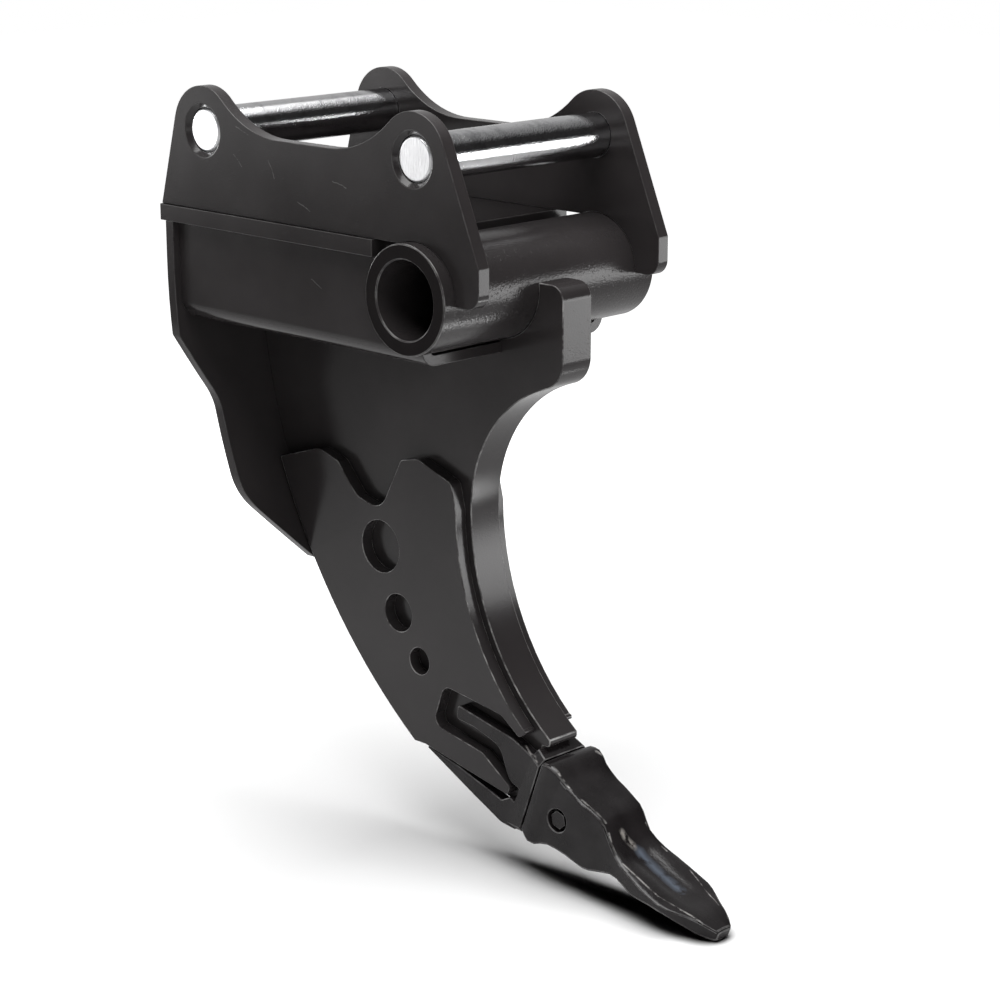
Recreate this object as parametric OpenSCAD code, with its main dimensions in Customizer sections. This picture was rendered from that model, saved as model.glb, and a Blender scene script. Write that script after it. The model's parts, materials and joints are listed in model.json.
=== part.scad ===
// Excavator ripper: headstock with two cross pins, curved shank and a pinned rock tooth.
// Millimetres, +Z up, +X towards the tooth. The origin is the middle of the front pin.

/* [Pins] */
// diameter of the two cross pins
pin_d = 50; // [30:0.5:90]
// distance between the pin centres
pin_spacing = 340; // [250:1:500]
// chamfer on each end of a pin
pin_chamfer = 2.5; // [0.5:0.1:6]
// how far a pin end lies inside the outer face of the ear
pin_recess = 4; // [0:0.1:10]
// gap round a pin in its bore
pin_clear = 0.3; // [0.05:0.05:1]

/* [Ear plates] */
// free width between the two ear plates
ear_gap = 264; // [180:1:400]
// thickness of an ear plate
ear_t = 16; // [10:0.5:30]
// radius of the ear round each pin
boss_r = 50; // [38:0.5:80]
// radius of the hollow between the two bosses, on each side
scoop_r = 140; // [80:1:160]
// height of the flat bottom of the hollow over the pin centres
scoop_z = 0; // [-20:0.5:10]
// distance from the rear pin centre back to the lower rear corner
ear_heel = 77; // [55:0.5:120]
// distance from the front pin centre to the front edge of the nose
nose_reach = 97.5; // [85:0.5:115]
// drop from the pin centres to the top of the upright front edge
nose_top = 104; // [90:0.5:115]
// corner radius at the bottom of the nose
nose_corner = 17; // [5:0.5:25]
// how far the nose reaches below the tube's centre
nose_sag = 1.5; // [0:0.1:10]
// diameter of the countersink round each pin at the outer face
sink_d = 61; // [54:0.5:75]
// depth of the countersink
sink_depth = 5.5; // [2:0.1:9]

/* [Deck plate] */
// drop from the pin centres to the top of the deck plate
deck_drop = 90; // [75:0.5:110]
// thickness of the deck plate
deck_t = 19; // [12:0.5:30]
// how far the deck plate stands out beyond the ears on each side
deck_lip = 4; // [0:0.5:15]
// how far the deck plate runs back beyond the back plate
deck_tail = 8; // [0:0.5:20]
// gap between the front edge of the deck plate and the rear of the tube
deck_front_gap = 2; // [-6:0.5:10]

/* [Cross tube] */
// outer diameter of the cross tube
tube_d = 120; // [90:0.5:140]
// bore of the cross tube
tube_bore = 86; // [60:0.5:100]
// how far the tube stands out beyond each ear
tube_lip = 16; // [4:0.5:30]
// tube centre in front of the front pin
tube_x = 3; // [-15:0.5:15]
// tube centre below the pins
tube_drop = 146; // [140:0.5:160]
// chamfer on the rims of the tube
tube_chamfer = 1.5; // [0.2:0.1:4]
// gap between the tube and the plates cut to fit it
saddle_clear = 0.3; // [0.1:0.05:1]

/* [Back plate] */
// distance from the rear pin centre back to the front face of the back plate
back_offset = 55; // [40:0.5:80]
// thickness of the back plate
back_t = 13; // [8:0.5:25]
// width of the back plate at the top
back_w = 302; // [200:1:340]
// width of the back plate below its shoulders
back_waist = 211; // [120:1:260]
// width of the back plate at its lower end
back_foot = 66; // [66:0.5:110]
// drop from the pin centres to the shoulders
shoulder_drop = 242; // [210:1:280]
// drop to the start of the waist
waist_top = 322; // [300:1:360]
// drop to the end of the waist
waist_end = 433; // [390:1:450]
// drop to the lower end of the back plate
back_end = 515; // [470:1:560]
// radius of the plate's corners at the waist
waist_r = 60; // [10:1:70]
// radius to which the plate and the rear of the shank are curved
spine_r = 688; // [600:1:900]
// drop from the pin centres to where the curve starts
spine_drop = 153; // [130:1:170]

/* [Side panels] */
// width over the two side panels
panel_w = 284; // [200:1:300]
// thickness of a side panel
panel_t = 12; // [6:0.5:14]
// outer bend radius at the bottom of a side panel
panel_bend = 20; // [15:0.5:40]
// gap between the side panel's floor and the underside of the tube
panel_floor_gap = 4; // [0.5:0.5:10]
// distance from the tube centre to the front end of the floor
panel_nose = 4; // [-10:0.5:30]

/* [Shank] */
// thickness of the shank plate
shank_t = 45; // [30:0.5:80]
// width of the horn in front of the tube
horn_w = 36; // [20:0.5:60]
// height of the horn's top over the tube centre
horn_rise = 8; // [-10:0.5:30]
// radius of the horn's top front corner
horn_top_r = 18; // [4:0.5:20]
// radius of the horn's lower front corner
horn_low_r = 34; // [15:0.5:40]
// radius of the upper part of the hollow front edge
throat_r = 165; // [140:1:190]
// radius of the lower part of the hollow front edge
sweep_r = 300; // [260:1:350]
// furthest back point of the front edge, behind the front pin
throat_x = 40; // [20:0.5:60]
// drop from the pin centres to that point
throat_drop = 410; // [400:1:425]
// how far the horn's rear edge starts inside the tube's outer skin
horn_root = 5; // [1:0.5:15]
// how far the end of the hollow front edge lies in front of the adapter shoulder
lip_reach = 17; // [10:0.5:24]
// height of that end over the adapter shoulder
lip_rise = 72.3; // [66:0.1:80]
// length of the straight lip below that
lip_h = 9; // [6:0.5:14]
// radius of the lip's lower corner
lip_r = 5; // [1:0.5:6]

/* [Cheek plates] */
// thickness of a cheek plate
cheek_t = 16; // [8:0.5:20]
// distance from the shank's front edge to the cheek's front edge
cheek_inset = 8.5; // [4:0.5:20]
// distance from the shank's rear edge to the cheek's rear edge
cheek_rear = 4; // [1:0.5:12]
// radius of the upper plug hole
hole_1_r = 31; // [15:0.5:36]
// radius of the middle plug hole
hole_2_r = 22.5; // [10:0.5:26]
// radius of the lower plug hole
hole_3_r = 16; // [8:0.5:19]

/* [Tooth and adapter] */
// angle of the tooth below level
tooth_pitch = 19.8; // [18:0.1:22]
// adapter shoulder in front of the front pin
seat_x = 66; // [60:0.5:72]
// adapter shoulder below the pins
seat_drop = 724.5; // [718:0.5:730]
// gap between the tooth's rim and the adapter's shoulder
rim_gap = 3; // [1:0.1:6]
// outer width over the adapter's legs
leg_w = 74; // [66:0.5:76]
// gap between the legs and the shank
leg_clear = 0.3; // [0.1:0.05:1]
// length of the adapter's head in front of the shank
head_l = 15.7; // [12:0.1:22]
// length of the nose inside the tooth
nose_l = 88; // [70:0.5:95]
// width of the nose at the shoulder
nose_w = 66; // [50:0.5:68]
// width of the nose at its end
nose_end_w = 44; // [30:0.5:48]
// gap between the nose and the tooth's socket
socket_clear = 0.4; // [0.1:0.05:1.5]

/* [Tooth pin] */
// diameter of the tooth pin
lock_d = 25; // [16:0.5:30]
// pin centre in front of the shoulder
lock_u = 44.7; // [38:0.1:52]
// pin centre above the tooth's axis
lock_v = 4.7; // [0:0.1:9]
// width across the flats of the pin's hexagonal ends
hex_flats = 19; // [12:0.5:22]
// length of each hexagonal end
hex_l = 8; // [4:0.5:12]
// length over the pin
lock_l = 74; // [60:0.5:76]
// gap round the pin in its bores
lock_clear = 0.3; // [0.1:0.05:1]
// diameter of the hole in the side of the tooth
lock_hole_d = 27; // [26:0.5:32]
// outer diameter of the retainer ring
ring_d = 37; // [32:0.5:40]
// thickness of the retainer ring
ring_t = 8; // [4:0.5:10]

/* [Hidden] */
$fn = 96;
arc_step = 4;

black = [0.16, 0.155, 0.155];
steel = [0.75, 0.75, 0.77];
cast = [0.2, 0.195, 0.2];
rubber = [0.1, 0.1, 0.11];

ear_out = ear_gap / 2 + ear_t;
pin_l = 2 * (ear_out - pin_recess);
deck_z = -deck_drop;
deck_low = deck_z - deck_t;
tube_z = -tube_drop;
tube_r = tube_d / 2;
tube_cut = tube_r + saddle_clear;
tube_l = 2 * (ear_out + tube_lip);
deck_front = tube_x - tube_r - deck_front_gap + saddle_clear;
back_x = -pin_spacing - back_offset;
deck_rear = back_x - back_t - deck_tail;
panel_low = tube_z - tube_r - panel_floor_gap - panel_t;
panel_front = tube_x + panel_nose;
horn_x = tube_x + tube_r + horn_w;
horn_z = tube_z + horn_rise;
shank_h = shank_t / 2;
cheek_out = shank_h + cheek_t;
leg_h = leg_w / 2;

// points on an arc about c from angle a0 to a1
function arc(c, r, a0, a1, step = arc_step) =
    let (n = max(1, ceil(abs(a1 - a0) / step)))
    [for (i = [0:n]) let (a = a0 + (a1 - a0) * i / n) c + r * [cos(a), sin(a)]];

function unit(a) = a / norm(a);
function bearing(a) = atan2(a[1], a[0]);
function turn(a) = a > 180 ? a - 360 : a < -180 ? a + 360 : a;

// one corner of a closed outline, rounded by the third number of its point
function corner(a, p, b) =
    let (
        c = [p[0], p[1]],
        ua = unit([a[0], a[1]] - c),
        ub = unit([b[0], b[1]] - c),
        half = acos(max(-1, min(1, ua * ub))) / 2
    )
    p[2] == 0 || half > 89.5 ? [c] :
    let (
        mid = c + unit(ua + ub) * p[2] / sin(half),
        a0 = bearing(c + ua * p[2] / tan(half) - mid),
        a1 = bearing(c + ub * p[2] / tan(half) - mid)
    )
    arc(mid, p[2], a0, a0 + turn(a1 - a0));

function rounded(p) =
    [for (i = [0:len(p) - 1]) each corner(p[(i + len(p) - 1) % len(p)], p[i], p[(i + 1) % len(p)])];
function plain(p) = [for (q = p) [q[0], q[1], 0]];

// side views are drawn in X and Z, and get their thickness along Y
module side(y0, y1) {
    translate([0, y1, 0]) rotate([90, 0, 0]) linear_extrude(y1 - y0) children();
}

module cross_cyl(x, z, r, l) {
    translate([x, l / 2, z]) rotate([90, 0, 0]) cylinder(r = r, h = l);
}

// from the tooth's own axes to the side view
function seat(u, v) = [seat_x + u * cos(tooth_pitch) + v * sin(tooth_pitch),
    -seat_drop - u * sin(tooth_pitch) + v * cos(tooth_pitch)];

// A curve about c runs down to a point p: up to where a straight line to p leaves it,
// or down to the height of p where p lies inside the curve.
function beyond(c, r, p) = norm(p - c) > r + 0.01;
function leave(c, r, p) =
    beyond(c, r, p) ? bearing(p - c) + 360 - acos(r / norm(p - c)) : 180 + asin((c[1] - p[1]) / r);
function run(c, r, a0, p, step = arc_step) =
    concat(arc(c, r, a0, leave(c, r, p), step), beyond(c, r, p) ? [p] : []);

// Rear curve of the shank, shared by the back plate, the panels and the cheeks.
// It ends at the shank's heel, which is placed in the tooth's own axes.
heel_u = -185.2;
heel_v = -40.6;
heel = seat(heel_u, heel_v);
spine_c = [back_x + spine_r, -spine_drop];
spine_step = 2;
spine_a = leave(spine_c, spine_r, heel);
spine = run(spine_c, spine_r, 180, heel, spine_step);

module before_spine() {
    front = nose_reach + seat_x + pin_spacing;
    low = -2 * seat_drop;
    polygon(concat([[back_x, 0]], spine, [[spine[len(spine) - 1][0], low], [front, low], [front, 0]]));
}

// ear plate
function tangent(p, r, way) = bearing(p) + way * acos(r / norm(p));
scoop_x = sqrt(pow(boss_r + scoop_r, 2) - pow(scoop_r + scoop_z, 2));
scoop_a = bearing([-scoop_x, scoop_r + scoop_z]);
heel_a = tangent([-ear_heel, deck_z], boss_r, -1);
nose_a = tangent([nose_reach, -nose_top], boss_r, 1);
rear_c = [-pin_spacing, 0];
ear_outline = concat(
    arc([0, 0], boss_r, nose_a, scoop_a),
    arc([-scoop_x, scoop_z + scoop_r], scoop_r, scoop_a - 180, -90),
    arc(rear_c + [scoop_x, scoop_z + scoop_r], scoop_r, -90, -scoop_a),
    arc(rear_c, boss_r, 180 - scoop_a, heel_a + 360),
    [[-pin_spacing - ear_heel, deck_z], [tube_x, deck_z], [tube_x, tube_z]],
    arc([nose_reach - nose_corner, tube_z + nose_corner - nose_sag], nose_corner, -90, 0),
    [[nose_reach, -nose_top]]);

module ear(y0) {
    outward = y0 > 0 ? 1 : -1;
    face = outward * ear_out;
    difference() {
        side(y0, y0 + ear_t) polygon(ear_outline);
        cross_cyl(tube_x, tube_z, tube_cut, 2 * tube_l);
        for (x = [0, -pin_spacing]) {
            cross_cyl(x, 0, pin_d / 2 + pin_clear, 2 * tube_l);
            translate([x, face - outward * sink_depth, 0]) rotate([-90 * outward, 0, 0])
                cylinder(r1 = pin_d / 2 + pin_clear, r2 = sink_d / 2, h = sink_depth);
        }
    }
}

module right_ear() {
    color(black) ear(-ear_out);
}

module left_ear() {
    color(black) ear(ear_out - ear_t);
}

module pin(x) {
    r = pin_d / 2;
    c = pin_chamfer;
    translate([x, pin_l / 2, 0]) rotate([90, 0, 0]) rotate_extrude()
        polygon([[0, 0], [r - c, 0], [r, c], [r, pin_l - c], [r - c, pin_l], [0, pin_l]]);
}

module front_pin() {
    color(steel) pin(0);
}

module rear_pin() {
    color(steel) pin(-pin_spacing);
}

// thick walled tube that ties the headstock together across the shank
module cross_tube() {
    i = tube_bore / 2;
    c = tube_chamfer;
    color(black) translate([tube_x, tube_l / 2, tube_z]) rotate([90, 0, 0]) rotate_extrude()
        polygon([[i, c], [i + c, 0], [tube_r - c, 0], [tube_r, c], [tube_r, tube_l - c],
            [tube_r - c, tube_l], [i + c, tube_l], [i, tube_l - c]]);
}

module deck_plate() {
    w = 2 * (ear_out + deck_lip);
    color(black) translate([deck_rear, -w / 2, deck_low]) cube([deck_front - deck_rear, w, deck_t]);
}

// rolled plate that closes the rear and narrows down to the shank
module back_plate() {
    half = [back_w, back_waist, back_foot] / 2;
    outline = [[-half[0], deck_low, 0], [-half[0], -shoulder_drop, 0], [-half[1], -waist_top, waist_r],
        [-half[1], -waist_end, waist_r], [-half[2], -back_end, 0], [half[2], -back_end, 0],
        [half[1], -waist_end, waist_r], [half[1], -waist_top, waist_r], [half[0], -shoulder_drop, 0],
        [half[0], deck_low, 0]];
    inner = arc(spine_c, spine_r, 180, spine_a, spine_step);
    outer = arc(spine_c, spine_r + back_t, spine_a, 180, spine_step);
    color(black) intersection() {
        side(-back_w, back_w) polygon(concat([[back_x, 0]], inner, outer, [[back_x - back_t, 0]]));
        translate([2 * back_x, 0, 0]) rotate([90, 0, 90]) linear_extrude(3 * abs(back_x))
            polygon(rounded(outline));
    }
}

// bent plate from the deck down and in to the shank
module panel() {
    y = panel_w / 2;
    bend = [[-shank_h, panel_low, 0], [-y, panel_low, panel_bend], [-y, deck_low, 0],
        [panel_t - y, deck_low, 0], [panel_t - y, panel_low + panel_t, panel_bend - panel_t],
        [-shank_h, panel_low + panel_t, 0]];
    color(black) difference() {
        intersection() {
            translate([2 * back_x, 0, 0]) rotate([90, 0, 90]) linear_extrude(3 * abs(back_x))
                polygon(rounded(bend));
            side(-y, 0) intersection() {
                before_spine();
                polygon([[2 * back_x, deck_low], [deck_front, deck_low], [deck_front, tube_z],
                    [panel_front, tube_z], [panel_front, panel_low], [2 * back_x, panel_low]]);
            }
        }
        cross_cyl(tube_x, tube_z, tube_cut, 2 * tube_l);
    }
}

module right_side_panel() {
    panel();
}

module left_side_panel() {
    mirror([0, 1, 0]) panel();
}

// shank plate with its horn in front of the tube
throat_c = [throat_r - throat_x, -throat_drop];
lip_top = [seat_x + lip_reach, lip_rise - seat_drop];
lip_run = lip_top + [throat_x, throat_drop];
// the lower hollow, no wider than reaches the lip
sweep_e = min(sweep_r, (lip_run * lip_run) / (2 * lip_run[0]));
sweep_c = [sweep_e - throat_x, -throat_drop];
horn_c = [horn_x - horn_low_r,
    throat_c[1] + sqrt(pow(throat_r + horn_low_r, 2) - pow(throat_c[0] - horn_x + horn_low_r, 2))];
lip_a = leave(sweep_c, sweep_e, lip_top);
lip_end = lip_top - [0, lip_h];

// ends of the shank over and under the adapter's head, in the tooth's own axes
end_top = 61.5;
end_low = -24;
shank_back = -head_l - leg_clear;
shank_outline = concat(
    [[back_x, deck_low], [deck_front, deck_low], [deck_front, tube_z], [tube_x, tube_z],
        [tube_x + tube_r - horn_root, horn_z]],
    arc([horn_x - horn_top_r, horn_z - horn_top_r], horn_top_r, 90, 0),
    arc(horn_c, horn_low_r, 0, bearing(throat_c - horn_c)),
    arc(throat_c, throat_r, bearing(horn_c - throat_c), 180),
    run(sweep_c, sweep_e, 180, lip_top),
    corner(lip_top, concat(lip_end, lip_r), seat(shank_back, end_top)),
    [seat(shank_back, end_top), seat(shank_back, end_low), heel, [2 * back_x, heel[1]]]);

module shank() {
    color(black) difference() {
        side(-shank_h, shank_h) intersection() {
            before_spine();
            polygon(shank_outline);
        }
        cross_cyl(tube_x, tube_z, tube_cut, 2 * tube_l);
    }
}

// stiffener plate with three plug holes and a slot for the adapter's upper leg
cheek_r = sweep_e + cheek_inset;
cheek_spine = spine_r - cheek_rear;
// corners of the upper edge: place, height over the adapter shoulder, radius
cheek_top = [[-276, 348.5, 26], [-244, 338.5, 14], [-212, 302.5, 24], [-172, 292.5, 24], [-137, 358.5, 8],
    [-109, 364.5, 20], [-56, 345.5, 9]];
// height of the upper edge's first corner over the end of the rear edge
cheek_ear = 22.1;
// corners of the lower end and its slot, in the tooth's own axes, with their radii
cheek_slot = [[-28, 75.5, 3], [-39, 62, 5], [-72, 71, 22], [-162, 52, 13], [-162, -1, 12], [-82, 11.5, 16],
    [-31, -2, 3], [-31, -13, 4], [-165, -33, 0]];
// turn of the front edge from the end of the shank's lip back to the cheek's tip
cheek_tip_a = 5;
// plug holes: place, height over the adapter shoulder, radius
cheek_holes = [[-172.5, 249.1, hole_1_r], [-143.6, 174.8, hole_2_r], [-109.2, 123.9, hole_3_r]];
cheek_end = cheek_slot[len(cheek_slot) - 1];
cheek_low_a = leave(spine_c, cheek_spine, seat(cheek_end[0], cheek_end[1]));
cheek_top_a = 180 + asin((seat_drop + cheek_ear - cheek_top[0][1] - spine_drop) / cheek_spine);
// the front edge ends just over the tip of the slot
cheek_tip = seat(cheek_slot[0][0], cheek_slot[0][1]) + [0, 1.8];
cheek_outline = concat(
    plain(arc(spine_c, cheek_spine, cheek_low_a, cheek_top_a, spine_step)),
    [for (p = cheek_top) [p[0], p[1] - seat_drop, p[2]]],
    plain(arc(sweep_c, cheek_r, 180, min(lip_a - cheek_tip_a, leave(sweep_c, cheek_r, cheek_tip)))),
    [for (p = cheek_slot) concat(seat(p[0], p[1]), p[2])]);

module cheek() {
    color(black) difference() {
        side(-cheek_out, -shank_h) polygon(rounded(cheek_outline));
        for (h = cheek_holes) cross_cyl(h[0], h[1] - seat_drop, h[2], 2 * tube_l);
    }
}

module right_cheek() {
    cheek();
}

module left_cheek() {
    mirror([0, 1, 0]) cheek();
}

module at_seat() {
    translate([seat_x, 0, -seat_drop]) rotate([0, tooth_pitch, 0]) children();
}

// closed skin over sections with equal numbers of points
module loft(s) {
    m = len(s[0]);
    n = len(s);
    polyhedron(
        points = [for (q = s) each q],
        faces = concat(
            [[for (j = [0:m - 1]) j]],
            [for (i = [0:n - 2], j = [0:m - 1], t = [0, 1])
                let (a = i * m + j, b = i * m + (j + 1) % m)
                t == 0 ? [a, a + m, b] : [b, a + m, b + m]],
            [[for (j = [0:m - 1]) (n - 1) * m + m - 1 - j]]));
}

// section of the nose and of the socket that fits it
function wedge(u, w, low, high, more) =
    let (y = w / 2 + more, b = 6)
    [[u, -y, low + b - more], [u, -y + b, low - more], [u, y - b, low - more], [u, y, low + b - more],
        [u, y, high - b + more], [u, y - b, high + more], [u, -y + b, high + more], [u, -y, high - b + more]];

nose_sides = [[-32, 46], [-6, 24]];
function nose_width(u) = nose_w + (nose_end_w - nose_w) * u / nose_l;
function nose_at(u, more) =
    let (k = u / nose_l)
    wedge(u, nose_width(u), nose_sides[0][0] + (nose_sides[1][0] - nose_sides[0][0]) * k,
        nose_sides[0][1] + (nose_sides[1][1] - nose_sides[0][1]) * k, more);

// inner face of the retainer, which ends just inside the side of the nose
ring_y = nose_width(lock_u + ring_d / 2) / 2 - ring_t - lock_clear;

// one leg of the adapter's fork, seen from the side
leg_outline = [[0, 50, 0], [-48, 54, 40], [-136, 41.5, 3], [-132.5, 25, 4], [-105, 31.5, 30], [-62, 33.5, 24],
    [-38, 6, 16], [-29, 3, 4], [-16.5, 4, 6], [-16, -17.5, 6], [-28, -14.8, 1], [-38, -25.5, 5],
    [-111, -27.5, 0], [-168, -35, 1], [-85, -45.5, 60], [-30, -51.5, 20], [0, -45, 0]];

// section of the adapter's head between the shank and the tooth
head_front_w = 80;
head_b = 8;
function head_at(u, half, low, high) =
    [[u, -half, low + head_b], [u, -half + head_b, low], [u, half - head_b, low], [u, half, low + head_b],
        [u, half, high - head_b], [u, half - head_b, high], [u, -half + head_b, high],
        [u, -half, high - head_b]];

leg_reach = 200;

module adapter() {
    color(cast) at_seat() difference() {
        union() {
            for (m = [0, 1]) mirror([0, m, 0])
                side(-leg_h, -shank_h - leg_clear) intersection() {
                    polygon(rounded(leg_outline));
                    translate([-leg_reach, -leg_reach / 2]) square([leg_reach - head_l / 2, leg_reach]);
                }
            loft([head_at(-head_l, leg_h, -52, 59.5), head_at(0, head_front_w / 2, -46, 56)]);
            loft([nose_at(-1, 0), nose_at(nose_l, 0)]);
        }
        cross_cyl(lock_u, lock_v, lock_d / 2 + lock_clear, 2 * tube_l);
        translate([lock_u, ring_y, lock_v]) rotate([-90, 0, 0])
            cylinder(r = ring_d / 2 + lock_clear, h = nose_w);
    }
}

// rise of the tooth's top and bottom faces towards their middle
crown = 0.8;

// Each row of the tooth: place along its axis, top, bottom edge, half width of the top face, half width
// and drop of the shoulder beside it, half width of the bottom edge, depth of the hollow along the top
// and depth of the bottom's middle below its edge.
tooth_rows = [
    [rim_gap, 56, -38, 38.5, 40.5, 3, 40.5, 0, 1], [10, 59, -42, 38.5, 41.8, 4, 41.8, 0, 1],
    [16, 60, -44.5, 38.5, 42, 4.5, 42, 0, 1], [25, 58, -42.5, 36.5, 40, 4, 41.5, 0, 1],
    [33, 53.5, -36.5, 35, 38, 3.5, 41, 0, 1], [42, 50, -31.5, 34.5, 37.4, 3, 40.5, 0, 1],
    [54, 46.5, -29, 34.5, 37.2, 3, 40, 0, 1], [68, 44.5, -27.5, 34.5, 37.2, 3, 39.5, 0, 1],
    [82, 43, -27.5, 33, 35.8, 3, 38.6, 0, 1], [95, 41, -27.5, 31.8, 34.6, 3, 37.8, 0, 1],
    [103, 37, -25, 30.8, 33.4, 3, 37, 0.5, 1], [110, 30.5, -21, 30.2, 33, 3, 36.6, 1.5, 1],
    [119, 22.5, -16, 30, 33.2, 3, 36.4, 3, 1.5], [131, 17, -9.5, 31, 35.5, 3, 36.8, 5, 2],
    [142, 13.5, -7.5, 32, 38, 2.5, 38, 6, 3], [152, 12.5, -8.5, 31.5, 39.5, 2.5, 39, 6, 4],
    [165, 11.5, -10.5, 31, 41, 2.5, 40.3, 6, 4], [179, 10, -7.5, 30.5, 42.5, 2.5, 41.8, 5.5, 4],
    [194, 9, -4, 29.5, 43, 2.5, 42.2, 5, 5], [206, 8.5, -2.8, 29, 42.4, 2, 41.6, 4, 6],
    [216, 8, -3, 28.5, 39.5, 1.5, 38.8, 3, 6], [226, 8, -5, 28, 34.5, 1.5, 34, 1.5, 4],
    [236, 8.5, -7.5, 25.5, 28.5, 1.5, 28, 0.8, 2], [249, 8.5, -9, 20.5, 22.8, 1.5, 22.5, 0.3, 1],
    [260, 7, -9, 15.5, 17.6, 1.5, 17.4, 0, 1], [268, 5, -8.8, 10.5, 12.4, 1.5, 12.2, 0, 1],
    [270.5, 2.5, -7, 9, 10, 1, 10, 0, 0.5]];

function tooth_section(r) =
    let (u = r[0], top = r[1], low = r[2], a = r[3], s = r[4], d = r[5], b = r[6], g = r[7], m = r[8])
    let (half = [[a * 0.22, top - g + crown], [a * 0.52, top - g * 0.4 + crown * 0.7],
        [a * 0.85, top + crown * 0.2], [a, top - d * 0.1], [a + (s - a) * 0.7, top - d * 0.45],
        [s, top - d], [b, low + 2], [b - 1.5, low],
        [b * 0.4, low - m]])
    concat([for (i = [len(half) - 1:-1:0]) [u, -half[i][0], half[i][1]]], [for (p = half) [u, p[0], p[1]]]);

module tooth() {
    color(cast) at_seat() difference() {
        loft([for (r = tooth_rows) [for (i = [len(tooth_section(r)) - 1:-1:0]) tooth_section(r)[i]]]);
        loft([nose_at(0, socket_clear), nose_at(nose_l + socket_clear, socket_clear)]);
        cross_cyl(lock_u, lock_v, lock_hole_d / 2, 2 * tube_l);
    }
}

// locking pin through tooth and adapter, with hexagonal ends for the driver
module tooth_pin() {
    color(cast) at_seat() translate([lock_u, 0, lock_v]) rotate([90, 0, 0]) {
        cylinder(d = lock_d, h = lock_l - 2 * hex_l, center = true);
        cylinder(d = hex_flats / cos(30), h = lock_l, center = true, $fn = 6);
    }
}

// spring ring that keeps the pin in its bore
module pin_retainer() {
    color(rubber) at_seat() translate([lock_u, ring_y + ring_t / 2, lock_v]) rotate([90, 0, 0])
        difference() {
            cylinder(d = ring_d, h = ring_t, center = true);
            cylinder(d = lock_d + lock_clear, h = 2 * ring_t, center = true);
        }
}

right_ear();
left_ear();
front_pin();
rear_pin();
cross_tube();
deck_plate();
back_plate();
right_side_panel();
left_side_panel();
shank();
right_cheek();
left_cheek();
adapter();
tooth();
tooth_pin();
pin_retainer();
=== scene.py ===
import json
import math

import bmesh
import bpy
from mathutils import Matrix, Vector

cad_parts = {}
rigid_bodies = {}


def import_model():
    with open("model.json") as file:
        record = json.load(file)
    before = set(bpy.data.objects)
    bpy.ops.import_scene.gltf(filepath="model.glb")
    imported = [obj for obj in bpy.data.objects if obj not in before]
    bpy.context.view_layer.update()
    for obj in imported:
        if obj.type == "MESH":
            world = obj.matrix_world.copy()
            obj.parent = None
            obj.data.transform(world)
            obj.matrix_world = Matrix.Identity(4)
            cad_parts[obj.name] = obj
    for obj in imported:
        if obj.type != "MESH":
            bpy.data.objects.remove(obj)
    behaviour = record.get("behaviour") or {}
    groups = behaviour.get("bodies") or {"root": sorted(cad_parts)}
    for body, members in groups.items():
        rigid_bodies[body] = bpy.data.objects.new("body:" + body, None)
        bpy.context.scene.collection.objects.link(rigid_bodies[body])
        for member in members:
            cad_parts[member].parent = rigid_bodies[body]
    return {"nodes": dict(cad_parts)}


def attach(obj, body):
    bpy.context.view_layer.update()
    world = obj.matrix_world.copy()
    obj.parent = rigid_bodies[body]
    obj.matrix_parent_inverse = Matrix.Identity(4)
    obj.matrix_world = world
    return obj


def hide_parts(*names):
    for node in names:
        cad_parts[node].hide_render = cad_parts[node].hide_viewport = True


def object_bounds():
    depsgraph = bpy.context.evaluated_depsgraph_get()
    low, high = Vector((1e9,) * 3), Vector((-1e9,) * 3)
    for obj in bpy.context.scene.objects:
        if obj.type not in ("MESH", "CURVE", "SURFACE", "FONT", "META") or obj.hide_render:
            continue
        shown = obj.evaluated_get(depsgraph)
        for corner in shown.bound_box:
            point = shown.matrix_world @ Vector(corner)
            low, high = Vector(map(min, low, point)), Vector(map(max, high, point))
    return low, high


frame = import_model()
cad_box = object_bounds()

scene = bpy.context.scene
scene.view_settings.view_transform = "Standard"


# Ears: two flame cut plates that stand on the deck and carry the hitch pins.
# 16 mm steel under satin black paint; the cut edges are ground so that the paint
# holds, and each pin hole has a countersink. The right ear has a few light scratches.
EAR_EDGE = 0.0008
EAR_CREASE = 14
MERGE_DISTANCE = 2e-6
FLAT_DEGREES = 0.5
PAINT_BLACK = (0.0202, 0.0180, 0.0183, 1)
PAINT_GREY = (0.0250, 0.0223, 0.0227, 1)
SCRATCH_GREY = (0.1, 0.098, 0.096, 1)
SCRATCH_GAPS = 240.0
# The edge grey is a painted highlight on the plates' broken edges.
EDGE_HIGHLIGHT_GREY = (0.055, 0.054, 0.053, 1)
EAR_SCRATCHES = [
    ((-0.2878, -0.148, -0.0226), (-0.2711, -0.148, -0.0343), 0.0008),
    ((-0.2284, -0.148, -0.0224), (-0.2174, -0.148, -0.0433), 0.0007),
    ((-0.2814, -0.148, 0.0091), (-0.2612, -0.148, 0.0020), 0.0006),
    ((-0.1816, -0.148, -0.0637), (-0.1606, -0.148, -0.0723), 0.0008),
    ((-0.1225, -0.148, -0.0347), (-0.1020, -0.148, -0.0401), 0.0007),
]


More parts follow.
